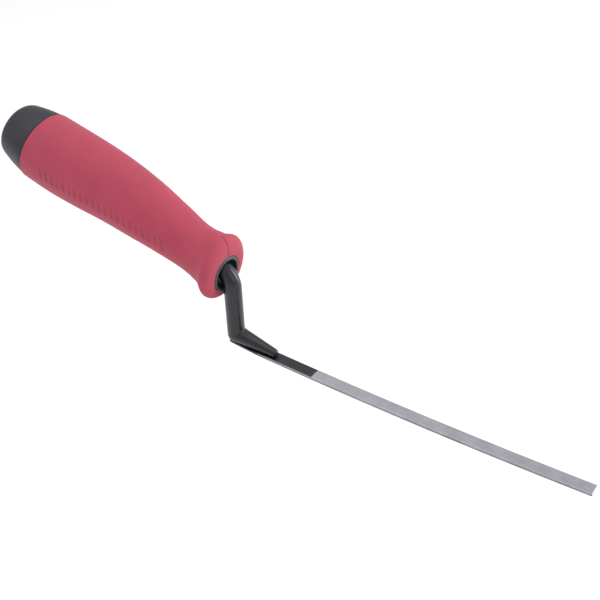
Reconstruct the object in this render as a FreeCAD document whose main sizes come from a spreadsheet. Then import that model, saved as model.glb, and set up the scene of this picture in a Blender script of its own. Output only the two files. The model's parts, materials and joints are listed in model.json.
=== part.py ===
import FreeCAD, Part

# Tuck-pointing trowel: a long narrow blade, a goose-neck tang whose foot sits on the blade's
# heel, a rigid handle core pressed over the tang's spike, a soft grip sleeve moulded round
# the core and a hard butt cap plugged into the core's rear end.
# Frame: origin on the handle's axis in the middle of the grip, where a hand closes round it;
# +X along the blade to its tip, +Z up out of the blade's upper face, +Y to the left, and
# y = 0 is the plane of symmetry. Sketches of blade and tang start at the blade's heel, level
# with its lowest line; those of the handle start at the nose and run back along its axis.

import math
import os

import Sketcher

SIZES = {
    # from the nose back along the handle's axis to the origin
    "grip_middle": 60.0,
    # blade: both faces are arcs of the same radius, their lowest points at different x
    "blade_length": 171.45,
    "blade_width": 6.35,
    "heel_width": 4.9,
    "heel_taper": 17.0,
    "heel_round": 2.35,
    "bow_radius": 2075.0,
    "bow_centre": 87.8,
    "face_centre": 91.4,
    "web": 0.943,
    "edge_break": 0.4,
    # tang
    "bar_radius": 3.97,
    "leg_centre": 3.5,
    "leg_bottom": 6.1,
    "bend_radius": 9.8,
    "spike_length": 74.0,
    "spike_chamfer": 1.5,
    "foot_seat": 0.85,
    "foot_reach": 25.2,
    "foot_root_radius": 4.0,
    "foot_toe_radius": 1.9,
    "toe_chamfer": 0.8,
    # handle
    "pitch": 17.4,
    "nose_centre": 0.87,
    "nose_height": 38.8,
    "nose_lean": 11.0,
    "lean_reach": 21.5,
    "lip_ahead": 0.2,
    "neck_at": 15.0,
    "grip_length": 106.1,
    "lip_round": 3.2,
    "rear_round": 0.5,
    "boss_proud": 0.3,
    "mouth_radius": 6.8,
    "mouth_depth": 7.0,
    # butt cap
    "handle_length": 123.25,
    "cap_radius": 16.0,
    "cap_end_radius": 12.0,
    "cap_side_radius": 78.0,
    "cap_round": 5.0,
    "spigot_radius": 7.5,
    "spigot_length": 14.0,
    "spigot_bore": 5.0,
    "spigot_gap": 0.05,
    "cap_end_wall": 4.0,
}

# radius, and rise of the section's centre above the handle axis, at even steps back from
# the nose: first the flared lip, then from the neck to the butt cap
LIP = [(14.7, 0.35), (14.7, 0.4), (13.2, 0.9), (12.0, 1.2), (11.5, 1.25), (11.2, 1.3)]
GRIP = [(11.2, 1.3), (12.25, 2.4), (13.9, 3.1), (15.1, 3.1), (16.1, 2.0), (16.55, 0.7), (16.3, 0.0)]
BOSS = [(8.4, -1.5), (8.4, -0.6), (8.4, 0.4), (8.4, 1.3)]
CORE = [(8.4, 1.3), (9.35, 2.4), (11.0, 3.1), (12.2, 3.1), (13.2, 2.0), (13.65, 0.7), (13.4, 0.0)]

LETTERS = "abcdefghijklmnop"

doc = FreeCAD.newDocument("tuck_pointer")
sheet = doc.addObject("Spreadsheet::Sheet", "sizes")


def write_value(cell, name, value):
    sheet.set(cell, str(value))
    sheet.setAlias(cell, name)


def write_stations(columns, prefix, fields, rows):
    """One spreadsheet row per station, with aliases such as grip_radius_c."""
    for number, row in enumerate(rows):
        for column, field, value in zip(columns, fields, row):
            write_value(f"{column}{number + 1}", f"{prefix}_{field}_{LETTERS[number]}", value)


def fill_sheet():
    for number, (name, value) in enumerate(SIZES.items()):
        sheet.set(f"A{number + 1}", name)
        write_value(f"B{number + 1}", name, value)
    write_stations("FG", "lip", ("radius", "rise"), LIP)
    write_stations("IJ", "grip", ("radius", "rise"), GRIP)
    write_stations("LM", "boss", ("radius", "rise"), BOSS)
    write_stations("OP", "core", ("radius", "rise"), CORE)
    doc.recompute()


def ref(name):
    return f"sizes.{name}"


def value_of(expression):
    """The number an expression over the sheet's aliases gives now."""
    return float(sheet.evalExpression(expression.replace("sizes.", "")))


def new_body(label):
    body = doc.addObject("PartDesign::Body", label)
    body.Label = label
    return body


def new_sketch(body, name, role):
    """Sketch on an origin plane. On XZ_Plane its y is the body's Z, on YZ_Plane x is Y."""
    plane = [item for item in body.Origin.OriginFeatures if item.Role == role][0]
    sketch = body.newObject("Sketcher::SketchObject", name)
    sketch.AttachmentSupport = (plane, [""])
    sketch.MapMode = "FlatFace"
    return sketch


def point(x, y):
    return FreeCAD.Vector(x, y, 0)


def bind(sketch, kind, places, expression):
    """Add a dimension at the value the expression has, and tie it to the expression."""
    number = sketch.addConstraint(Sketcher.Constraint(kind, *places, value_of(expression)))
    sketch.setExpression(f"Constraints[{number}]", expression)


def pin(sketch, geometry, end, x, y):
    """Fix a point at x, y from the sketch origin, on either side of it."""
    for kind, expression in (("DistanceX", x), ("DistanceY", y)):
        if value_of(expression) < 0:
            bind(sketch, kind, (geometry, end, -1, 1), f"-({expression})")
        else:
            bind(sketch, kind, (-1, 1, geometry, end), expression)


def bulge(start, end, radius):
    """Arc from start to end that swells to the right of the way there."""
    along = end - start
    rise = radius - math.sqrt(radius**2 - (along.Length / 2) ** 2)
    crown = (start + end) / 2 + point(along.y, -along.x).normalize() * rise
    return Part.Arc(start, crown, end)


def polygon(sketch, corners, arcs=None):
    """Closed outline through corners, each a pair of expressions. Its sides are straight,
    or arcs of the radius that arcs gives for the side's number."""
    numbers = [point(value_of(x), value_of(y)) for x, y in corners]
    first = sketch.GeometryCount
    arcs = arcs or {}
    for k, (start, end) in enumerate(zip(numbers, numbers[1:] + numbers[:1])):
        if k in arcs:
            sketch.addGeometry(bulge(start, end, value_of(arcs[k])), False)
            bind(sketch, "Radius", (first + k,), arcs[k])
        else:
            sketch.addGeometry(Part.LineSegment(start, end), False)
    for k, (x, y) in enumerate(corners):
        nxt = (k + 1) % len(corners)
        sketch.addConstraint(Sketcher.Constraint("Coincident", first + k, 2, first + nxt, 1))
        pin(sketch, first + k, 1, x, y)


def circle(sketch, x, y, radius):
    centre = point(value_of(x), value_of(y))
    normal = FreeCAD.Vector(0, 0, 1)
    number = sketch.addGeometry(Part.Circle(centre, normal, value_of(radius)), False)
    bind(sketch, "Radius", (number,), radius)
    pin(sketch, number, 3, x, y)
    return number


def edges_where(feature, test):
    found = [f"Edge{k + 1}" for k, edge in enumerate(feature.Shape.Edges) if test(edge)]
    if not found:
        raise RuntimeError(f"no edge of {feature.Label} matches")
    return found


def dress(body, kind, name, base, edges, expression):
    """Fillet or chamfer of the named edges of the feature before."""
    feature = body.newObject(f"PartDesign::{kind}", name)
    feature.Base = (base, edges)
    prop = "Radius" if kind == "Fillet" else "Size"
    setattr(feature, prop, value_of(expression))
    feature.setExpression(prop, expression)
    doc.recompute()
    return feature


def face_arc(sketch, centre, drop, low, high):
    """Arc of one face of the blade, from x = low to x = high, as one geometry."""
    radius = value_of(ref("bow_radius"))
    middle = point(value_of(centre), radius + value_of(drop))
    angles = [-math.pi / 2 + math.asin((x - middle.x) / radius) for x in (low, high)]
    full = Part.Circle(middle, FreeCAD.Vector(0, 0, 1), radius)
    number = sketch.addGeometry(Part.ArcOfCircle(full, *angles), False)
    bind(sketch, "Radius", (number,), ref("bow_radius"))
    pin(sketch, number, 3, centre, f"{ref('bow_radius')} + {drop}")
    return number


def build_blade():
    body = new_body("blade")
    length = value_of(ref("blade_length"))
    side = new_sketch(body, "blade_side", "XZ_Plane")
    under = face_arc(side, ref("bow_centre"), "0", 0.0, length)
    upper = face_arc(side, ref("face_centre"), ref("web"), 0.0, length)
    arcs = [side.Geometry[under], side.Geometry[upper]]
    heel = side.addGeometry(Part.LineSegment(arcs[0].StartPoint, arcs[1].StartPoint), False)
    tip = side.addGeometry(Part.LineSegment(arcs[0].EndPoint, arcs[1].EndPoint), False)
    for line, end in ((heel, 1), (tip, 2)):
        side.addConstraint(Sketcher.Constraint("Coincident", line, 1, under, end))
        side.addConstraint(Sketcher.Constraint("Coincident", line, 2, upper, end))
        side.addConstraint(Sketcher.Constraint("Vertical", line))
    side.addConstraint(Sketcher.Constraint("PointOnObject", heel, 1, -2))
    bind(side, "DistanceX", (-1, 1, tip, 1), ref("blade_length"))

    strip = body.newObject("PartDesign::Pad", "blade_strip")
    strip.Profile = side
    strip.Midplane = True
    strip.Length = value_of(ref("blade_width"))
    strip.setExpression("Length", ref("blade_width"))
    doc.recompute()

    plan = new_sketch(body, "blade_heel_plan", "XY_Plane")
    full, slim = "sizes.blade_width / 2", "sizes.heel_width / 2"
    for sign in ("", "-"):
        corners = [("-1", slim), ("0", slim), (ref("heel_taper"), full)]
        corners += [(ref("heel_taper"), f"{full} + 1"), ("-1", f"{full} + 1")]
        polygon(plan, [(x, f"{sign}({y})") for x, y in corners])
    taper = body.newObject("PartDesign::Pocket", "blade_heel_taper")
    taper.Profile = plan
    taper.Midplane = True
    taper.Type = "ThroughAll"
    doc.recompute()

    def at_heel(edge):
        box = edge.BoundBox
        return box.XMax < 0.01 and box.ZLength > 0.5

    def upper_rim(edge):
        box = edge.BoundBox
        if box.YLength > box.XLength or box.XMax < 20:
            return False
        x = (box.XMin + box.XMax) / 2
        level = edge.valueAt((edge.FirstParameter + edge.LastParameter) / 2)
        face = value_of(ref("web")) + (level.x - value_of(ref("face_centre"))) ** 2 / (
            2 * value_of(ref("bow_radius"))
        )
        return x > 20 and abs(level.z - face) < 0.1

    rounded = dress(
        body, "Fillet", "blade_heel_round", taper, edges_where(taper, at_heel), ref("heel_round")
    )
    dress(
        body, "Chamfer", "blade_edges", rounded, edges_where(rounded, upper_rim), ref("edge_break")
    )
    on_heel(body)
    return body


def on_heel(body):
    """Body whose own origin is the blade's heel, level with the blade's lowest line."""
    nose_x = "sizes.grip_middle * cos(sizes.pitch * 1 deg)"
    nose_z = "-sizes.grip_middle * sin(sizes.pitch * 1 deg)"
    body.setExpression("Placement.Base.x", f"{nose_x} - sizes.nose_centre")
    body.setExpression("Placement.Base.z", f"{nose_z} - sizes.nose_height")


def seat_height(x):
    """Height of the blade's upper face at x from the heel, as an expression."""
    return f"sizes.web + ({x} - sizes.face_centre) ^ 2 / (2 * sizes.bow_radius)"


def build_tang():
    body = new_body("tang")
    pitch = math.radians(value_of(ref("pitch")))
    leg_x = value_of(ref("leg_centre"))
    bend = value_of(ref("bend_radius"))
    nose = point(value_of(ref("nose_centre")), value_of(ref("nose_height")))
    corner = point(leg_x, nose.y - (leg_x - nose.x) * math.tan(pitch))
    back = point(-math.cos(pitch), math.sin(pitch))
    turn = math.pi / 2 - pitch
    run = bend * math.tan(turn / 2)

    path = new_sketch(body, "tang_path", "XZ_Plane")
    foot = point(leg_x, value_of(ref("leg_bottom")))
    knee = point(leg_x, corner.y - run)
    leg = path.addGeometry(Part.LineSegment(foot, knee), False)
    full = Part.Circle(point(leg_x - bend, knee.y), FreeCAD.Vector(0, 0, 1), bend)
    arc = path.addGeometry(Part.ArcOfCircle(full, 0.0, turn), False)
    entry = corner + back * run
    end = nose + back * value_of(ref("spike_length"))
    spike = path.addGeometry(Part.LineSegment(entry, end), False)
    pin(path, leg, 1, ref("leg_centre"), ref("leg_bottom"))
    path.addConstraint(Sketcher.Constraint("Vertical", leg))
    path.addConstraint(Sketcher.Constraint("Tangent", leg, 2, arc, 1))
    path.addConstraint(Sketcher.Constraint("Tangent", arc, 2, spike, 1))
    bind(path, "Radius", (arc,), ref("bend_radius"))
    behind = "sizes.spike_length * cos(sizes.pitch * 1 deg) - sizes.nose_centre"
    above = "sizes.nose_height + sizes.spike_length * sin(sizes.pitch * 1 deg)"
    pin(path, spike, 2, f"-({behind})", above)
    mark = path.addGeometry(Part.Point(nose), True)
    pin(path, mark, 1, ref("nose_centre"), ref("nose_height"))
    path.addConstraint(Sketcher.Constraint("PointOnObject", mark, 1, spike))

    ring = new_sketch(body, "tang_bar", "XY_Plane")
    ring.setExpression("AttachmentOffset.Base.z", ref("leg_bottom"))
    circle(ring, ref("leg_centre"), "0", ref("bar_radius"))
    bar = body.newObject("PartDesign::AdditivePipe", "tang_goose_neck")
    bar.Profile = ring
    bar.Spine = path
    doc.recompute()

    profile = new_sketch(body, "tang_foot_profile", "XZ_Plane")
    radii = [ref("foot_root_radius"), ref("foot_toe_radius")]
    spots = []
    for x, radius in zip((ref("leg_centre"), ref("foot_reach")), radii):
        spots.append((x, f"{seat_height(x)} + sizes.foot_seat * {radius}"))
    root, toe = [point(value_of(x), value_of(z)) for x, z in spots]
    along = (toe - root).normalize()
    up = point(-along.y, along.x)
    chamfer = value_of(ref("toe_chamfer"))
    heel = root - along * value_of(radii[0])
    rim = toe + up * (value_of(radii[1]) - chamfer)
    shoulder = rim + (up - along) * chamfer
    sight = shoulder - root
    facing = math.atan2(sight.y, sight.x) + math.acos(value_of(radii[0]) / sight.Length)
    top = root + point(math.cos(facing), math.sin(facing)) * value_of(radii[0])
    outline = [heel, root, toe, rim, shoulder, top]
    for start, end in zip(outline, outline[1:]):
        profile.addGeometry(Part.LineSegment(start, end), False)
    ball = Part.Circle(root, FreeCAD.Vector(0, 0, 1), value_of(radii[0]))
    back = Part.ArcOfCircle(ball, facing, math.atan2(along.y, along.x) + math.pi)
    profile.addGeometry(back, False)
    for k in range(4):
        profile.addConstraint(Sketcher.Constraint("Coincident", k, 2, k + 1, 1))
    profile.addConstraint(Sketcher.Constraint("Tangent", 4, 2, 5, 1))
    profile.addConstraint(Sketcher.Constraint("Coincident", 5, 2, 0, 1))
    profile.addConstraint(Sketcher.Constraint("Coincident", 5, 3, 1, 1))
    pin(profile, 1, 1, *spots[0])
    pin(profile, 1, 2, *spots[1])
    profile.addConstraint(Sketcher.Constraint("Parallel", 0, 1))
    profile.addConstraint(Sketcher.Constraint("Perpendicular", 1, 2))
    bind(profile, "Radius", (5,), radii[0])
    bind(profile, "Distance", (2,), f"{radii[1]} - sizes.toe_chamfer")
    bind(profile, "Distance", (3,), "sizes.toe_chamfer * sqrt(2)")
    profile.addConstraint(Sketcher.Constraint("Angle", 2, 2, 3, 1, math.radians(135)))
    foot = body.newObject("PartDesign::Revolution", "tang_foot")
    foot.Profile = profile
    foot.ReferenceAxis = (profile, ["Edge2"])
    foot.Angle = 360
    doc.recompute()

    under = new_sketch(body, "tang_seat", "XZ_Plane")
    low, high = -8.0, 40.0
    arc = face_arc(under, ref("face_centre"), ref("web"), low, high)
    ends = [under.Geometry[arc].StartPoint, under.Geometry[arc].EndPoint]
    corners = [ends[0], point(low, -6), point(high, -6), ends[1]]
    lines = [
        under.addGeometry(Part.LineSegment(a, b), False) for a, b in zip(corners, corners[1:])
    ]
    under.addConstraint(Sketcher.Constraint("Coincident", lines[0], 1, arc, 1))
    under.addConstraint(Sketcher.Constraint("Coincident", lines[0], 2, lines[1], 1))
    under.addConstraint(Sketcher.Constraint("Coincident", lines[1], 2, lines[2], 1))
    under.addConstraint(Sketcher.Constraint("Coincident", lines[2], 2, arc, 2))
    under.addConstraint(Sketcher.Constraint("Vertical", lines[0]))
    under.addConstraint(Sketcher.Constraint("Vertical", lines[2]))
    pin(under, lines[1], 1, "-(8)", "-(6)")
    pin(under, lines[1], 2, "40", "-(6)")
    seat = body.newObject("PartDesign::Pocket", "tang_seat_cut")
    seat.Profile = under
    seat.Midplane = True
    seat.Type = "ThroughAll"
    doc.recompute()

    dress(
        body,
        "Chamfer",
        "tang_spike_end",
        seat,
        edges_where(seat, lambda e: e.BoundBox.ZMin > nose.y + 10),
        ref("spike_chamfer"),
    )
    on_heel(body)
    return body


def loft(body, kind, name, sections):
    feature = body.newObject(f"PartDesign::{kind}", name)
    feature.Profile = sections[0]
    feature.Sections = sections[1:]
    feature.Ruled = False
    doc.recompute()
    return feature


def on_handle(body):
    """Body whose own Z runs back along the handle from the nose, its X towards the top."""
    body.Placement = FreeCAD.Placement(
        FreeCAD.Vector(0, 0, 0), FreeCAD.Rotation(FreeCAD.Vector(0, -1, 0), 72.6)
    )
    body.setExpression("Placement.Rotation.Angle", "90 - sizes.pitch")
    body.setExpression("Placement.Base.x", "sizes.grip_middle * cos(sizes.pitch * 1 deg)")
    body.setExpression("Placement.Base.z", "-sizes.grip_middle * sin(sizes.pitch * 1 deg)")


def lean(sketch, at):
    """Stand a cross sketch at its station, leaning with the nose and less further back."""
    sketch.AttachmentOffset = FreeCAD.Placement(
        FreeCAD.Vector(0, 0, 0), FreeCAD.Rotation(FreeCAD.Vector(0, -1, 0), 1.0)
    )
    sketch.setExpression("AttachmentOffset.Base.z", at)
    tilt = f"sizes.nose_lean / exp((({at}) / sizes.lean_reach) ^ 2)"
    sketch.setExpression("AttachmentOffset.Rotation.Angle", tilt)


def stations(body, label, prefix, count, start, end):
    """Circles at even steps from start to end, as loft sections."""
    sections = []
    for number, letter in enumerate(LETTERS[:count]):
        section = new_sketch(body, f"{label}_{letter}", "XY_Plane")
        lean(section, f"{start} + ({end} - {start}) * {number} / {count - 1}")
        circle(section, ref(f"{prefix}_rise_{letter}"), "0", ref(f"{prefix}_radius_{letter}"))
        sections.append(section)
    return sections


def grip_shape(body, kind, label, front, front_count, front_at, rest, rest_count):
    """Front loft from the nose to the neck, then the long one from the neck to the cap."""
    neck = ref("neck_at")
    sections = stations(body, f"{label}_{front}", front, front_count, front_at, neck)
    loft(body, kind, f"{label}_front", sections)
    sections = stations(body, f"{label}_{rest}", rest, rest_count, neck, ref("grip_length"))
    return loft(body, kind, f"{label}_rear", sections)


def bore(body, name, at, radius, depth, backward, rise="0"):
    """Round pocket along the handle axis; backward means it is cut towards the butt."""
    sketch = new_sketch(body, f"{name}_circle", "XY_Plane")
    if at.startswith("-"):
        lean(sketch, at)
    else:
        sketch.setExpression("AttachmentOffset.Base.z", at)
    circle(sketch, rise, "0", radius)
    before = body.Shape.Volume
    pocket = body.newObject("PartDesign::Pocket", name)
    pocket.Profile = sketch
    pocket.Reversed = backward
    pocket.Length = value_of(depth)
    pocket.setExpression("Length", depth)
    doc.recompute()
    if not body.Shape.Volume < before - 1:
        raise RuntimeError(f"{name} cuts nothing")
    return pocket


def build_core():
    body = new_body("handle_core")
    on_handle(body)
    proud = "(-sizes.boss_proud)"
    grip_shape(body, "AdditiveLoft", "core", "boss", len(BOSS), proud, "core", len(CORE))
    bore(
        body,
        "core_mouth",
        "-(sizes.boss_proud)",
        ref("mouth_radius"),
        ref("mouth_depth"),
        True,
        ref("boss_rise_a"),
    )
    bore(body, "core_socket", "0", ref("bar_radius"), ref("spike_length"), True)
    bore(
        body,
        "core_rear_bore",
        ref("grip_length"),
        "sizes.spigot_radius + sizes.spigot_gap",
        "sizes.spigot_length + 0.5",
        False,
    )
    return body


def build_sleeve():
    body = new_body("grip_sleeve")
    on_handle(body)
    front = "(-sizes.lip_ahead)"
    skin = grip_shape(body, "AdditiveLoft", "skin", "lip", len(LIP), front, "grip", len(GRIP))

    def rim(low, high):
        return lambda edge: edge.BoundBox.YLength > 20 and low < edge.CenterOfMass.z < high

    nose = dress(
        body,
        "Fillet",
        "grip_lip",
        skin,
        edges_where(skin, rim(-5, 5)),
        ref("lip_round"),
    )
    dress(
        body,
        "Fillet",
        "grip_rear_edge",
        nose,
        edges_where(nose, rim(100, 110)),
        ref("rear_round"),
    )
    proud = "(-sizes.boss_proud)"
    grip_shape(body, "SubtractiveLoft", "hollow", "boss", len(BOSS), proud, "core", len(CORE))
    return body


def build_cap():
    body = new_body("butt_cap")
    on_handle(body)
    profile = new_sketch(body, "cap_profile", "XZ_Plane")
    front = "sizes.grip_length - sizes.spigot_length"
    floor = "sizes.handle_length - sizes.cap_end_wall"
    corners = [
        ("0", ref("handle_length")),
        ("0", floor),
        (ref("spigot_bore"), floor),
        (ref("spigot_bore"), front),
        (ref("spigot_radius"), front),
        (ref("spigot_radius"), ref("grip_length")),
        (ref("cap_radius"), ref("grip_length")),
        (ref("cap_end_radius"), ref("handle_length")),
    ]
    polygon(profile, corners, arcs={6: ref("cap_side_radius")})
    turned = body.newObject("PartDesign::Revolution", "cap_turned")
    turned.Profile = profile
    turned.ReferenceAxis = (profile, ["V_Axis"])
    turned.Angle = 360
    doc.recompute()
    length = value_of(ref("handle_length"))
    end = edges_where(turned, lambda e: e.BoundBox.ZMin > length - 0.01 and e.BoundBox.XLength > 20)
    dress(body, "Fillet", "cap_end_round", turned, end, ref("cap_round"))
    return body


def check(body):
    """Stop if any feature failed or the body is not one sound solid."""
    for item in body.Group:
        if {"Invalid", "Error"} & set(item.State):
            raise RuntimeError(f"{item.Label} is {item.State}")
    shape = body.Shape
    if shape.isNull() or not shape.isValid() or len(shape.Solids) != 1:
        raise RuntimeError(f"{body.Label} is not one valid solid")


def main():
    fill_sheet()
    bodies = [build_blade(), build_tang(), build_core(), build_sleeve(), build_cap()]
    doc.recompute()
    os.makedirs("parts", exist_ok=True)
    for body in bodies:
        check(body)
        body.Shape.exportStep(f"parts/{body.Label}.step")
        print(body.Label, round(body.Shape.Volume, 1), "mm3")


main()
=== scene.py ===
import json
import math

import bmesh
import bpy
import numpy as np
from mathutils import Matrix, Vector


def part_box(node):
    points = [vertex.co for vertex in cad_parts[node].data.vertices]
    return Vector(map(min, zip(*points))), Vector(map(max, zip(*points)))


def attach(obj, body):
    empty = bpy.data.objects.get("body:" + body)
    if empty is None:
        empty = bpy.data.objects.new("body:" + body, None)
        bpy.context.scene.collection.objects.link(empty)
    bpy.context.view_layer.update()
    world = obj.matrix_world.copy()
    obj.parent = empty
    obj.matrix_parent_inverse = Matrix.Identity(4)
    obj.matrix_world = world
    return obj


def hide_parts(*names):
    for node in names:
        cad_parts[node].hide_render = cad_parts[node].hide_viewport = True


# Tuck-pointing trowel in a plain studio. Lengths below are in millimetres and turned into
# metres by MM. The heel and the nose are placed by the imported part's box and mount.

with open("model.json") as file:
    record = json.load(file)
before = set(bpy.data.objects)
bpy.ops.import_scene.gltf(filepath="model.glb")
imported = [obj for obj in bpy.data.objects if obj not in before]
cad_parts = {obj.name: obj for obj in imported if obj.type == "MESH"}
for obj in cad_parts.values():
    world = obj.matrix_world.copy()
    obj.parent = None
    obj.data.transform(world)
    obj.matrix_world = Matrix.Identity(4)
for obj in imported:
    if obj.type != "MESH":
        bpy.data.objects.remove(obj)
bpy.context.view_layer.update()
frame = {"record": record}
MM = 0.001

mounts = {m["name"]: m for m in frame["record"]["mounts"]}
BACK = Vector(mounts["butt_face"]["axis"]).normalized()
RISE = Vector((BACK.z, 0.0, -BACK.x))
SIDE = Vector((0.0, 1.0, 0.0))
HANDLE_LENGTH = 123.25
NOSE = Vector(mounts["butt_face"]["pos_m"]) - BACK * HANDLE_LENGTH * MM
BLADE_LOW, BLADE_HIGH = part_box("blade")
HEEL = Vector((BLADE_LOW.x, 0.0, BLADE_LOW.z))
BLADE_LENGTH = (BLADE_HIGH.x - BLADE_LOW.x) / MM
BLADE_HALF = (BLADE_HIGH.y - BLADE_LOW.y) / 2 / MM


# ---------------------------------------------------------------- meshes

def make_object(name, points, faces, smooth=True):
    mesh = bpy.data.meshes.new(name)
    mesh.from_pydata([tuple(p) for p in points], [], faces)
    mesh.validate()
    mesh.update()
    for polygon in mesh.polygons:
        polygon.use_smooth = smooth
    obj = bpy.data.objects.new(name, mesh)
    bpy.context.scene.collection.objects.link(obj)
    return obj


def ring_faces(rings, around, closed):
    """Quads between rings of points; closed joins the last ring to the first."""
    faces = []
    for k in range(rings if closed else rings - 1):
        here, after = k * around, (k + 1) % rings * around
        for j in range(around):
            nxt = (j + 1) % around
            faces.append((here + j, here + nxt, after + nxt, after + j))
    return faces


def skin(name, rings, closed=False):
    """Surface through rings of equal count. Open ends are closed with a fan."""
    around = len(rings[0])
    points = [p for ring in rings for p in ring]
    faces = ring_faces(len(rings), around, closed)
    if not closed:
        for start, flip in ((0, True), (len(points) - around, False)):
            centre = sum((Vector(p) for p in points[start:start + around]), Vector()) / around
            points.append(centre)
            hub = len(points) - 1
            for j in range(around):
                nxt = (j + 1) % around
                pair = (start + nxt, start + j) if flip else (start + j, start + nxt)
                faces.append((hub, *pair))
    obj = make_object(name, points, faces)
    orient(obj)
    return obj


def orient(obj):
    bm = bmesh.new()
    bm.from_mesh(obj.data)
    bmesh.ops.recalc_face_normals(bm, faces=bm.faces)
    bm.to_mesh(obj.data)
    bm.free()


def apply_modifiers(obj):
    graph = bpy.context.evaluated_depsgraph_get()
    mesh = bpy.data.meshes.new_from_object(obj.evaluated_get(graph))
    obj.modifiers.clear()
    obj.data = mesh
    for polygon in mesh.polygons:
        polygon.use_smooth = True


def spline(knots):
    """Smooth curve through rows of (x, y, ...), as a function of x."""
    rows = np.array(knots, float)
    x, values = rows[:, 0], rows[:, 1:]
    slopes = np.gradient(values, x, axis=0)

    def at(where):
        k = int(np.clip(np.searchsorted(x, where) - 1, 0, len(x) - 2))
        width = x[k + 1] - x[k]
        t = np.clip((where - x[k]) / width, 0, 1)
        a, b = values[k], values[k + 1]
        ma, mb = slopes[k] * width, slopes[k + 1] * width
        return (
            (2 * t**3 - 3 * t**2 + 1) * a + (t**3 - 2 * t**2 + t) * ma
            + (3 * t**2 - 2 * t**3) * b + (t**3 - t**2) * mb
        )

    return at


def step(value, low, high):
    t = min(max((value - low) / (high - low), 0.0), 1.0)
    return t * t * (3 - 2 * t)


def arc(centre, radius, start, end, count):
    """Points of an arc in (along, out), angles in degrees from the along direction."""
    angles = np.radians(np.linspace(start, end, count))
    return [(centre[0] + radius * math.cos(a), centre[1] + radius * math.sin(a)) for a in angles]


# ---------------------------------------------------------------- handle

# along the axis from the nose, radius, rise of the section's centre above the axis
GRIP_LINE = [
    (-0.2, 14.7, 0.2), (2.6, 14.7, 0.3), (3.4, 14.68, 0.4), (4.2, 14.38, 0.5),
    (5.2, 13.75, 0.7), (6.3, 13.0, 0.95), (7.8, 12.35, 1.15), (9.6, 11.95, 1.25),
    (12.2, 11.45, 1.25), (15.0, 11.2, 1.3), (30.2, 12.25, 2.4), (45.4, 13.9, 3.1),
    (60.6, 15.1, 3.1), (75.7, 16.1, 2.0), (90.9, 16.5, 0.7), (106.1, 16.3, 0.0),
]
GRIP_END = 106.1
grip_at = spline(GRIP_LINE)
WALL = 2.9
LIP_FRONT = -0.2
LIP_ROUND = 3.6
LIP_CROWN = 5.2
MOUTH_RIM = 8.4
MOUTH_DROP = -1.5
NECK, NECK_RISE = 15.0, 1.3
NOSE_LEAN, LEAN_REACH = math.radians(11.0), 21.5


def section_point(along, rise, radius, angle, lean=True):
    """Point of a handle section; angle 0 is the top, 90 degrees is the +Y side."""
    tilt = NOSE_LEAN / math.exp((along / LEAN_REACH) ** 2) if lean else 0.0
    up = RISE * math.cos(tilt) + BACK * math.sin(tilt)
    flat = up * (rise + radius * math.cos(angle)) + SIDE * (radius * math.sin(angle))
    return NOSE + (BACK * along + flat) * MM


# debossed row of plain slanted strokes along the near side, evenly spaced
STROKE_ANGLE = math.radians(272)
STROKE_FROM, STROKE_TO = 27.0, 93.0
STROKE_PITCH = 3.3
STROKE_WIDE, STROKE_TALL = 1.15, 4.6
STROKE_DEEP = 0.42
STROKE_SLANT = 0.25


def stroke_depth(along, height):
    """Depth of the debossed strokes at a place on the near side."""
    if not STROKE_FROM - 1 < along < STROKE_TO + 1 or abs(height) > STROKE_TALL:
        return 0.0
    shifted = along - STROKE_SLANT * height - STROKE_FROM
    nearest = round(shifted / STROKE_PITCH)
    if nearest < 0 or nearest * STROKE_PITCH > STROKE_TO - STROKE_FROM:
        return 0.0
    across = abs(shifted - nearest * STROKE_PITCH)
    wide = 1 - step(across, STROKE_WIDE / 2 - 0.3, STROKE_WIDE / 2 + 0.15)
    tall = 1 - step(abs(height), STROKE_TALL / 2 - 0.3, STROKE_TALL / 2 + 0.15)
    return STROKE_DEEP * wide * tall


# mould seam across the top of the lip
SEAM = 2 * math.pi + math.radians(4)
SEAM_DEEP, SEAM_WIDE = 0.4, 0.3


def around_angles():
    """Angles round a grip section, close together where the strokes are."""
    fine = np.linspace(-0.24, 0.24, 45) + STROKE_ANGLE
    coarse = np.linspace(STROKE_ANGLE + 0.24, STROKE_ANGLE - 0.24 + 2 * math.pi, 122)[1:-1]
    angles = list(fine) + list(coarse)
    extra = [SEAM + offset for offset in np.linspace(-0.06, 0.06, 9)]
    kept = [a for a in angles if abs(a - SEAM) > 0.07]
    return sorted(kept + extra)


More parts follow.
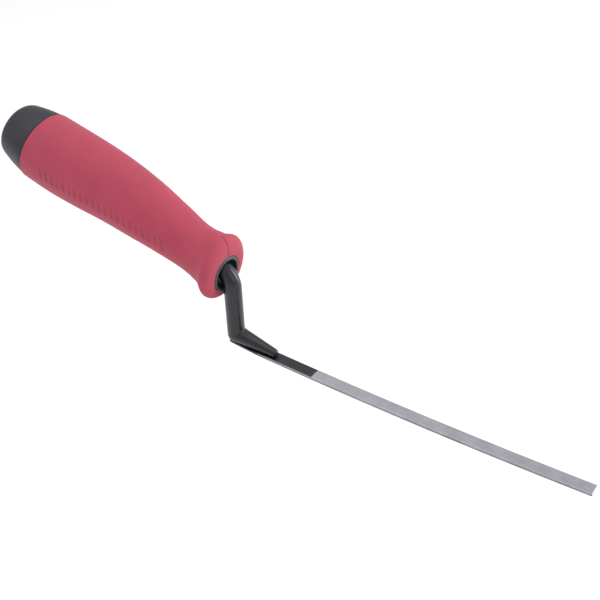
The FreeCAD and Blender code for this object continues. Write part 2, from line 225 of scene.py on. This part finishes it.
def build_grip():
    angles = around_angles()
    front_radius = grip_at(LIP_FRONT + LIP_ROUND)[0]
    rings = []

    def ring(along, radius, rise=None):
        if rise is None:
            rise = grip_at(max(along, LIP_FRONT))[1]
        section = []
        for angle in angles:
            off_seam = abs(angle - SEAM)
            groove = SEAM_DEEP * math.exp(-((off_seam * radius / SEAM_WIDE) ** 2))
            groove *= 1 - step(along, 3.0, 5.5)
            height = (angle - STROKE_ANGLE) * radius
            sunk = stroke_depth(along, height) if radius > WALL + 8 else 0.0
            section.append(section_point(along + groove, rise, radius - sunk - groove, angle))
        rings.append(section)

    rear = grip_at(GRIP_END)[0]
    for along, out in arc((GRIP_END - 0.6, rear - 0.6), 0.6, 0, 90, 7):
        ring(along, out)
    ends = [GRIP_END - 1.0, STROKE_TO + 2, STROKE_FROM - 2, LIP_FRONT + LIP_ROUND + 0.3]
    for start, end, pitch in zip(ends, ends[1:], (0.9, 0.36, 0.5)):
        for along in np.arange(start, end, -pitch):
            ring(along, grip_at(along)[0])
    lip_rise = grip_at(LIP_FRONT)[1]
    for turn in np.radians(np.linspace(0, 90, 22)):
        along = LIP_FRONT + LIP_ROUND * (1 - math.sin(turn))
        ring(along, front_radius - LIP_CROWN * (1 - math.cos(turn)))
    crown = front_radius - LIP_CROWN
    for share in np.linspace(0, 1, 8)[1:]:
        out = crown + (MOUTH_RIM + 0.5 - crown) * share
        ring(LIP_FRONT, out, lip_rise + (MOUTH_DROP - lip_rise) * share)
    for along, out in arc((LIP_FRONT + 0.5, MOUTH_RIM + 0.5), 0.5, 180, 270, 6)[1:]:
        ring(along, out, MOUTH_DROP)
    for along in np.arange(3.0, NECK, 3.0):
        ring(along, MOUTH_RIM, MOUTH_DROP + (grip_at(NECK)[1] - MOUTH_DROP) * along / NECK)
    for along in np.arange(18.0, GRIP_END, 6.0):
        ring(along, max(grip_at(along)[0] - WALL, MOUTH_RIM))
    ring(GRIP_END, rear - WALL)
    ring(GRIP_END, rear - 1.2)
    return skin("soft_grip", rings, closed=True)


def turned(name, profile, rise=lambda along: 0.0, lean=False, around=128, closed=False):
    """Piece of round sections about the handle axis from points (along, radius)."""
    angles = np.linspace(0, 2 * math.pi, around, endpoint=False)
    rings = [[section_point(s, rise(s), r, a, lean) for a in angles] for s, r in profile]
    return skin(name, rings, closed)


def build_core():
    """Rigid core: the rim round the mouth, the sloping mouth and the body in the grip."""
    outer, mouth, proud = MOUTH_RIM, 6.8, -0.45
    profile = [(7.2, 4.0), (7.0, 4.6), (6.4, 5.3)]
    profile += [(3.0, mouth - 0.35), (proud + 1.2, mouth - 0.05)]
    profile += arc((proud + 0.45, mouth + 0.45), 0.45, 270, 180, 8)
    profile += arc((proud + 0.75, outer - 0.75), 0.75, 180, 90, 9)
    profile += [(3.0, outer - 0.1), (8.0, 8.3), (14.0, 8.2), (40.0, 9.0), (GRIP_END - 1, 9.4)]
    profile += [(GRIP_END - 0.8, 9.0), (GRIP_END - 0.8, 7.6), (GRIP_END - 14, 7.6)]
    profile += [(GRIP_END - 14.4, 4.0), (60.0, 4.0)]

    def rise(along):
        return MOUTH_DROP + (NECK_RISE - MOUTH_DROP) * step(along, 0.0, NECK + 1)

    return turned("core_and_mouth_rim", profile, rise, lean=True, closed=True)


CAP_RADIUS, CAP_END_RADIUS = 16.0, 12.0
CAP_SWELL, CAP_SOFT = 78.0, 5.0
PLUG_LENGTH, PLUG_RADIUS, PLUG_BORE = 14.0, 7.45, 5.2


def build_cap():
    """Hard cap: slightly swelled side, broadly rounded end, plug into the core."""
    front, tail = GRIP_END, HANDLE_LENGTH
    start, finish, swell = (front, CAP_RADIUS), (tail, CAP_END_RADIUS), CAP_SWELL
    chord = math.dist(start, finish)
    middle = ((start[0] + finish[0]) / 2, (start[1] + finish[1]) / 2)
    drop = math.sqrt(swell**2 - (chord / 2) ** 2)
    normal = ((start[1] - finish[1]) / chord, (finish[0] - start[0]) / chord)
    centre = (middle[0] - normal[0] * drop, middle[1] - normal[1] * drop)
    soft = CAP_SOFT
    # ball that rolls into the corner of side and end
    ball_s = tail - soft
    ball_r = centre[1] + math.sqrt((swell - soft) ** 2 - (ball_s - centre[0]) ** 2)
    meet = math.degrees(math.atan2(ball_r - centre[1], ball_s - centre[0]))
    begin = math.degrees(math.atan2(start[1] - centre[1], start[0] - centre[0]))
    plug = front - PLUG_LENGTH
    profile = [(plug, PLUG_BORE), (plug, PLUG_RADIUS - 0.45), (plug + 0.4, PLUG_RADIUS)]
    profile += [(front, PLUG_RADIUS), (front + 0.02, 12.0), (front + 0.02, 15.4)]
    profile += [(front + 0.12, 15.8)]
    profile += arc(centre, swell, begin - 0.3, meet, 26)
    profile += arc((ball_s, ball_r), soft, meet, 0, 22)[1:]
    profile += [(tail, r) for r in np.linspace(ball_r, 0.6, 8)[1:]]
    return turned("end_cap", profile, around=144)


# ---------------------------------------------------------------- blade

BOW = 2075.0
UNDER_CENTRE, UPPER_CENTRE, WEB = 87.8, 91.4, 0.943
HEEL_HALF, HEEL_TAPER, HEEL_ROUND = 2.45, 17.0, 2.35
EDGE = 0.42
EDGE_ROUND, TIP_ROUND = 0.09, 0.25
PAINT_END, EDGE_PAINT_END = 45.2, 18.0


def under_at(x):
    return (x - UNDER_CENTRE) ** 2 / (2 * BOW)


def upper_at(x):
    return WEB + (x - UPPER_CENTRE) ** 2 / (2 * BOW)


def half_at(x):
    half = HEEL_HALF + (BLADE_HALF - HEEL_HALF) * min(x / HEEL_TAPER, 1.0)
    if x < HEEL_ROUND:
        half += math.sqrt(max(HEEL_ROUND**2 - (HEEL_ROUND - x) ** 2, 0.0)) - HEEL_ROUND
    tip = BLADE_LENGTH - x
    if tip < TIP_ROUND:
        half -= TIP_ROUND - math.sqrt(max(TIP_ROUND**2 - (TIP_ROUND - tip) ** 2, 0.0))
    return half


def build_blade():
    xs = [0.0, 0.03, 0.12, 0.28, 0.5, 0.8, 1.2, 1.6, 2.0, 2.35]
    xs += list(np.arange(3.0, HEEL_TAPER, 0.75)) + [HEEL_TAPER, EDGE_PAINT_END]
    xs += list(np.arange(18.0, BLADE_LENGTH - 1, 1.5)) + [PAINT_END]
    xs += [BLADE_LENGTH - d for d in (0.6, 0.25, 0.18, 0.1, 0.04, 0.0)]
    xs = sorted(set(xs))
    rings = []
    for x in xs:
        low, high, half = under_at(x), upper_at(x), half_at(x)
        tip = BLADE_LENGTH - x
        ease = 0.14 * (1 - step(tip, 0.0, TIP_ROUND))
        low, high = low + ease, high - ease
        edge = min(EDGE, half - 0.3) * (0.12 + 0.88 * step(x, 10.0, 22.0))
        r = EDGE_ROUND
        side = [
            (half - edge - r, high), (half - edge - r * 0.3, high - r * 0.12),
            (half - edge + r * 0.5, high - r * 0.62),
            (half - r * 0.5, high - edge + r * 0.62), (half - r * 0.1, high - edge - r * 0.1),
            (half, high - edge - r), (half, low + 2 * r), (half - r * 0.3, low + r * 0.6),
            (half - r * 1.4, low),
        ]
        flat_out = list(np.linspace(half - edge - r, -(half - edge - r), 9))[1:-1]
        flat_in = list(np.linspace(-(half - r * 1.4), half - r * 1.4, 9))[1:-1]
        loop = side + [(y, low) for y in flat_in[::-1]]
        loop += [(-y, z) for y, z in side[::-1]] + [(y, high) for y in flat_out[::-1]]
        rings.append([HEEL + Vector((x, y, z)) * MM for y, z in loop])
    obj = skin("strip_blade", rings)
    # sides and chamfers take the second material, a darker copy of the ground steel that paints
    # shade onto the blade's edges
    edge_numbers = set(range(0, 8)) | set(range(16, 24))
    around = len(rings[0])
    for polygon in obj.data.polygons:
        places = {v % around for v in polygon.vertices}
        polygon.material_index = 1 if places <= edge_numbers else 0
    return obj


# ---------------------------------------------------------------- tang

BAR = 3.97
LEG_X = 3.5
BEND = 9.8
FOOT_REACH = 25.2
FOOT_ROOT, FOOT_TOE = 4.0, 1.9


def tube(points, radii, around=48):
    """Rings square to a path in the plane of symmetry, in millimetres from the heel."""
    rings = []
    for k, (x, z) in enumerate(points):
        before, after = points[max(k - 1, 0)], points[min(k + 1, len(points) - 1)]
        dx, dz = after[0] - before[0], after[1] - before[1]
        length = math.hypot(dx, dz)
        nx, nz = -dz / length, dx / length
        ring = []
        for angle in np.linspace(0, 2 * math.pi, around, endpoint=False):
            c, s = math.cos(angle) * radii[k], math.sin(angle) * radii[k]
            ring.append(HEEL + Vector((x + nx * c, s, z + nz * c)) * MM)
        rings.append(ring)
    return rings


def bar_path():
    """Spike, bend and leg, from inside the grip down to the elbow."""
    nose = (NOSE - HEEL) / MM
    pitch = math.atan2(BACK.z, -BACK.x)
    turn = math.pi / 2 - pitch
    corner_z = nose.z - (LEG_X - nose.x) * math.tan(pitch)
    run = BEND * math.tan(turn / 2)
    knee = corner_z - run
    path = []
    entry = (LEG_X - run * math.cos(pitch), corner_z + run * math.sin(pitch))
    for back in (40.0, 30.0, 20.0, 10.0, 4.0):
        path.append((entry[0] - back * math.cos(pitch), entry[1] + back * math.sin(pitch)))
    for angle in np.linspace(turn, 0, 20):
        path.append((LEG_X - BEND + BEND * math.cos(angle), knee + BEND * math.sin(angle)))
    root = upper_at(LEG_X) + 0.85 * FOOT_ROOT
    path += [(LEG_X, z) for z in np.linspace(knee, root, 12)[1:]]
    return path, root


def build_tang():
    path, root = bar_path()
    below = [(LEG_X, root - h) for h in np.linspace(0.3, FOOT_ROOT * 0.98, 12)]
    bar_radii = [BAR] * len(path)
    bar_radii += [math.sqrt(max(BAR**2 - (root - z) ** 2, 0.01)) for _, z in below]
    bar = skin("goose_neck", tube(path + below, bar_radii))

    toe = upper_at(FOOT_REACH) + 0.85 * FOOT_TOE
    points, radii = [], []
    for back in (0.995, 0.97, 0.9, 0.8, 0.65, 0.5, 0.3, 0.15):
        points.append((LEG_X - FOOT_ROOT * back, root))
        radii.append(FOOT_ROOT * math.sqrt(1 - back**2))
    for share in np.linspace(0, 1, 24):
        x = LEG_X + (FOOT_REACH - 0.7 - LEG_X) * share
        points.append((x, root + (toe - root) * share))
        radii.append(FOOT_ROOT + (FOOT_TOE - FOOT_ROOT) * share)
    for angle in np.radians([20, 45, 70, 88]):
        points.append((FOOT_REACH - 0.7 + 0.7 * math.sin(angle), toe))
        radii.append(FOOT_TOE - 0.7 + 0.7 * math.cos(angle))
    foot = skin("foot", tube(points, radii))

    bpy.ops.object.select_all(action="DESELECT")
    foot.select_set(True)
    bar.select_set(True)
    bpy.context.view_layer.objects.active = bar
    bpy.ops.object.join()
    remesh = bar.modifiers.new("one_skin", "REMESH")
    remesh.mode = "VOXEL"
    remesh.voxel_size = 0.24 * MM
    apply_modifiers(bar)
    relax(bar, root)
    for vertex in bar.data.vertices:
        local = (vertex.co - HEEL) / MM
        if local.z < root:
            seat = upper_at(local.x)
            if local.z < seat:
                vertex.co.z = HEEL.z + seat * MM
    return bar


def relax(obj, root):
    """Ease the inner corner between leg and foot, and take the voxel steps off the rest."""
    group = obj.vertex_groups.new(name="corner")
    whole = obj.vertex_groups.new(name="whole")
    for vertex in obj.data.vertices:
        local = (vertex.co - HEEL) / MM
        gap = math.hypot(local.x - (LEG_X + BAR), local.z - (root + FOOT_ROOT * 0.92))
        weight = 1 - step(gap, 0.6, 2.6)
        if weight > 0:
            group.add([vertex.index], weight, "REPLACE")
        whole.add([vertex.index], 1.0, "REPLACE")
    for name, factor, repeat in (("whole", 0.5, 6), ("corner", 0.6, 26)):
        smooth = obj.modifiers.new(name, "SMOOTH")
        smooth.vertex_group = name
        smooth.factor = factor
        smooth.iterations = repeat
    apply_modifiers(obj)
    obj.vertex_groups.clear()


# ---------------------------------------------------------------- materials

def new_material(name):
    material = bpy.data.materials.new(name)
    material.use_nodes = True
    nodes, links = material.node_tree.nodes, material.node_tree.links
    shader = next(n for n in nodes if n.type == "BSDF_PRINCIPLED")
    place = nodes.new("ShaderNodeTexCoord")
    return material, nodes, links, shader, place.outputs["Object"]


def noise(nodes, links, place, scale, detail=3.0, stretch=None, rough=0.55):
    texture = nodes.new("ShaderNodeTexNoise")
    texture.inputs["Scale"].default_value = scale
    texture.inputs["Detail"].default_value = detail
    texture.inputs["Roughness"].default_value = rough
    if stretch:
        mapping = nodes.new("ShaderNodeMapping")
        mapping.inputs["Scale"].default_value = stretch
        links.new(place, mapping.inputs["Vector"])
        links.new(mapping.outputs["Vector"], texture.inputs["Vector"])
    else:
        links.new(place, texture.inputs["Vector"])
    return texture.outputs["Fac"]


def ranged(nodes, links, value, low, high, start=0.3, end=0.7):
    ranger = nodes.new("ShaderNodeMapRange")
    ranger.inputs["From Min"].default_value = start
    ranger.inputs["From Max"].default_value = end
    ranger.inputs["To Min"].default_value = low
    ranger.inputs["To Max"].default_value = high
    links.new(value, ranger.inputs["Value"])
    return ranger.outputs["Result"]


def blend_colour(nodes, links, share, dark, light):
    mix = nodes.new("ShaderNodeMix")
    mix.data_type = "RGBA"
    for socket, value in ((mix.inputs[6], dark), (mix.inputs[7], light)):
        if hasattr(value, "links"):
            links.new(value, socket)
        else:
            socket.default_value = (*value, 1.0)
    links.new(share, mix.inputs[0])
    return mix.outputs[2]


def add(nodes, links, kind, first, second):
    math_node = nodes.new("ShaderNodeMath")
    math_node.operation = kind
    for socket, value in zip(math_node.inputs, (first, second)):
        if hasattr(value, "links"):
            links.new(value, socket)
        else:
            socket.default_value = value
    return math_node.outputs[0]


def bump(nodes, links, shader, height, distance, strength=1.0):
    node = nodes.new("ShaderNodeBump")
    node.inputs["Strength"].default_value = strength
    node.inputs["Distance"].default_value = distance
    links.new(height, node.inputs["Height"])
    links.new(node.outputs["Normal"], shader.inputs["Normal"])


def rubber_material():
    material, nodes, links, shader, place = new_material("soft_grip_red")
    cloud = noise(nodes, links, place, 90.0, 4.0)
    speck = noise(nodes, links, place, 1400.0, 2.0)
    tone = ranged(nodes, links, cloud, 0.0, 1.0)
    body = blend_colour(nodes, links, tone, (0.385, 0.044, 0.080), (0.440, 0.055, 0.094))
    fleck = ranged(nodes, links, speck, 0.0, 0.35, 0.62, 0.78)
    links.new(
        blend_colour(nodes, links, fleck, body, (0.52, 0.10, 0.145)), shader.inputs["Base Color"]
    )
    links.new(ranged(nodes, links, cloud, 0.60, 0.74), shader.inputs["Roughness"])
    shader.inputs["Specular IOR Level"].default_value = 0.35
    shader.inputs["Sheen Weight"].default_value = 0.08
    shader.inputs["Sheen Roughness"].default_value = 0.5
    shader.inputs["Sheen Tint"].default_value = (1.0, 0.72, 0.76, 1.0)
    fine = noise(nodes, links, place, 4200.0, 2.0)
    grain = noise(nodes, links, place, 1100.0, 3.0)
    bump(nodes, links, shader, add(nodes, links, "ADD", fine, grain), 0.00005, 0.55)
    return material


def cap_material():
    material, nodes, links, shader, place = new_material("cap_plastic_black")
    cloud = noise(nodes, links, place, 120.0, 3.0)
    tone = ranged(nodes, links, cloud, 0.0, 1.0)
    links.new(
        blend_colour(nodes, links, tone, (0.007, 0.007, 0.016), (0.012, 0.012, 0.023)),
        shader.inputs["Base Color"],
    )
    links.new(ranged(nodes, links, cloud, 0.40, 0.50), shader.inputs["Roughness"])
    shader.inputs["Specular IOR Level"].default_value = 0.5
    grain = noise(nodes, links, place, 2600.0, 2.0)
    bump(nodes, links, shader, grain, 0.00004, 0.5)
    return material


def core_material():
    material, nodes, links, shader, place = new_material("core_plastic_grey")
    cloud = noise(nodes, links, place, 300.0, 3.0)
    tone = ranged(nodes, links, cloud, 0.0, 1.0)
    links.new(
        blend_colour(nodes, links, tone, (0.034, 0.037, 0.039), (0.048, 0.052, 0.054)),
        shader.inputs["Base Color"],
    )
    links.new(ranged(nodes, links, cloud, 0.38, 0.52), shader.inputs["Roughness"])
    grain = noise(nodes, links, place, 2400.0, 2.0)
    bump(nodes, links, shader, grain, 0.00003, 0.5)
    return material


PAINT_DARK, PAINT_LIGHT = (0.006, 0.005, 0.010), (0.012, 0.011, 0.018)


def paint_inputs(nodes, links, place):
    """Colour, roughness and height of black paint sprayed over forged steel."""
    cloud = noise(nodes, links, place, 260.0, 4.0)
    peel = noise(nodes, links, place, 900.0, 2.0)
    grit = noise(nodes, links, place, 3600.0, 2.0)
    tone = ranged(nodes, links, cloud, 0.0, 1.0)
    colour = blend_colour(nodes, links, tone, PAINT_DARK, PAINT_LIGHT)
    rough = ranged(nodes, links, cloud, 0.20, 0.32)
    height = add(nodes, links, "ADD", peel, add(nodes, links, "MULTIPLY", grit, 0.35))
    return colour, rough, height


def paint_material():
    material, nodes, links, shader, place = new_material("tang_paint_black")
    colour, rough, height = paint_inputs(nodes, links, place)
    links.new(colour, shader.inputs["Base Color"])
    links.new(rough, shader.inputs["Roughness"])
    shader.inputs["Specular IOR Level"].default_value = 0.5
    bump(nodes, links, shader, height, 0.00006, 0.5)
    return material


def steel_material(name, paint_end, wobble, fade, dark, light):
    """Ground steel, with black paint from the heel up to paint_end millimetres."""
    material, nodes, links, shader, place = new_material(name)
    colour, rough, height = paint_inputs(nodes, links, place)
    streak = noise(nodes, links, place, 1.0, 4.0, (60.0, 5200.0, 5200.0), 0.6)
    cloud = noise(nodes, links, place, 140.0, 3.0)
    tone = ranged(nodes, links, add(nodes, links, "MULTIPLY", streak, cloud), 0.0, 1.0, 0.12, 0.4)
    steel = blend_colour(nodes, links, tone, dark, light)
    shine = ranged(nodes, links, streak, 0.30, 0.46)

    split = nodes.new("ShaderNodeSeparateXYZ")
    links.new(place, split.inputs[0])
    ragged = noise(nodes, links, place, 900.0, 3.0)
    reach = add(nodes, links, "MULTIPLY", add(nodes, links, "SUBTRACT", ragged, 0.5), wobble * MM)
    along = add(nodes, links, "ADD", split.outputs["X"], reach)
    limit = HEEL.x + paint_end * MM
    bare = ranged(nodes, links, along, 0.0, 1.0, limit - fade * MM, limit + fade * MM)
    links.new(blend_colour(nodes, links, bare, colour, steel), shader.inputs["Base Color"])
    links.new(bare, shader.inputs["Metallic"])
    finish = nodes.new("ShaderNodeMix")
    links.new(bare, finish.inputs[0])
    links.new(rough, finish.inputs[2])
    links.new(shine, finish.inputs[3])
    links.new(finish.outputs[0], shader.inputs["Roughness"])
    relief = nodes.new("ShaderNodeMix")
    links.new(bare, relief.inputs[0])
    links.new(height, relief.inputs[2])
    links.new(add(nodes, links, "MULTIPLY", streak, 0.6), relief.inputs[3])
    bump(nodes, links, shader, relief.outputs[0], 0.00004, 0.5)
    return material


def floor_material():
    material, nodes, links, shader, place = new_material("studio_floor")
    cloud = noise(nodes, links, place, 3.0, 2.0)
    tone = ranged(nodes, links, cloud, 0.0, 1.0)
    links.new(
        blend_colour(nodes, links, tone, (0.965, 0.965, 0.965), (0.985, 0.985, 0.985)),
        shader.inputs["Base Color"],
    )
    shader.inputs["Roughness"].default_value = 0.9
    return material


# ---------------------------------------------------------------- pieces

def dress(piece, node, slot, *materials):
    for material in materials:
        piece.data.materials.append(material)
    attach(piece, "root")
    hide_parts(node)


blade = build_blade()
face_dark, face_light = (0.35, 0.345, 0.39), (0.46, 0.455, 0.51)
# edge steel is the same ground steel as the faces, made darker only as painted shade on the side
# faces and chamfers
edge_painted_shade_dark, edge_painted_shade_light = (0.22, 0.22, 0.24), (0.36, 0.36, 0.39)
dress(
    blade, "blade", "blade_steel",
    steel_material("blade_faces", PAINT_END, 0.5, 0.08, face_dark, face_light),
    steel_material("blade_edges", EDGE_PAINT_END, 16.0, 4.0, edge_painted_shade_dark, edge_painted_shade_light),
)
dress(build_tang(), "tang", "tang_paint", paint_material())
dress(build_core(), "handle_core", "core_plastic", core_material())
dress(build_grip(), "grip_sleeve", "grip_rubber", rubber_material())
dress(build_cap(), "butt_cap", "cap_plastic", cap_material())


# ---------------------------------------------------------------- studio

FLOOR_DROP, FLOOR_HALF = 60, 4
corners = ((-1, -1), (1, -1), (1, 1), (-1, 1))
floor = make_object(
    "floor",
    [Vector((x * FLOOR_HALF, y * FLOOR_HALF, HEEL.z - FLOOR_DROP * MM)) for x, y in corners],
    [(0, 1, 2, 3)],
    smooth=False,
)
floor.data.materials.append(floor_material())

world = bpy.data.worlds.new("studio")
world.use_nodes = True
sky = world.node_tree.nodes["Background"]
sky.inputs["Color"].default_value = (1.0, 1.0, 1.0, 1.0)
sky.inputs["Strength"].default_value = 0.68
bpy.context.scene.world = world


def softbox(name, offset, size, power):
    light = bpy.data.lights.new(name, "AREA")
    light.shape = "RECTANGLE"
    light.size, light.size_y = size
    light.energy = power
    obj = bpy.data.objects.new(name, light)
    middle = HEEL + Vector((20.0, 0.0, 38.0)) * MM
    obj.location = middle + Vector(offset)
    obj.rotation_euler = (middle - obj.location).to_track_quat("-Z", "Y").to_euler()
    bpy.context.scene.collection.objects.link(obj)


softbox("overhead", (-0.15, 0.05, 0.95), (1.1, 1.1), 4.2)
softbox("front_left", (-0.75, -0.75, 0.75), (0.8, 0.8), 1.4)
softbox("right_front", (0.88, -0.15, 0.4), (0.35, 0.7), 0.9)
softbox("right_back", (0.66, 0.74, 0.22), (0.5, 0.7), 5.5)

AZIMUTH, ELEVATION, ROLL = math.radians(35.69), math.radians(36.56), math.radians(-2.06)
DISTANCE = 0.439
target = HEEL + Vector((38.94, 0.0, 38.37)) * MM
toward = Vector((
    math.sin(AZIMUTH) * math.cos(ELEVATION),
    -math.cos(AZIMUTH) * math.cos(ELEVATION),
    math.sin(ELEVATION),
))
level = Vector((math.cos(AZIMUTH), math.sin(AZIMUTH), 0.0))
upright = toward.cross(level)
right = level * math.cos(ROLL) + upright * math.sin(ROLL)
above = upright * math.cos(ROLL) - level * math.sin(ROLL)
camera_data = bpy.data.cameras.new("camera")
camera_data.sensor_width = 36.0
camera_data.lens = 64.0
camera_data.clip_start = 0.01
camera = bpy.data.objects.new("camera", camera_data)
axes = Matrix((right, above, toward)).transposed().to_4x4()
camera.matrix_world = Matrix.Translation(target + toward * DISTANCE) @ axes
bpy.context.scene.collection.objects.link(camera)
bpy.context.scene.camera = camera
bpy.context.scene.view_settings.view_transform = "Standard"
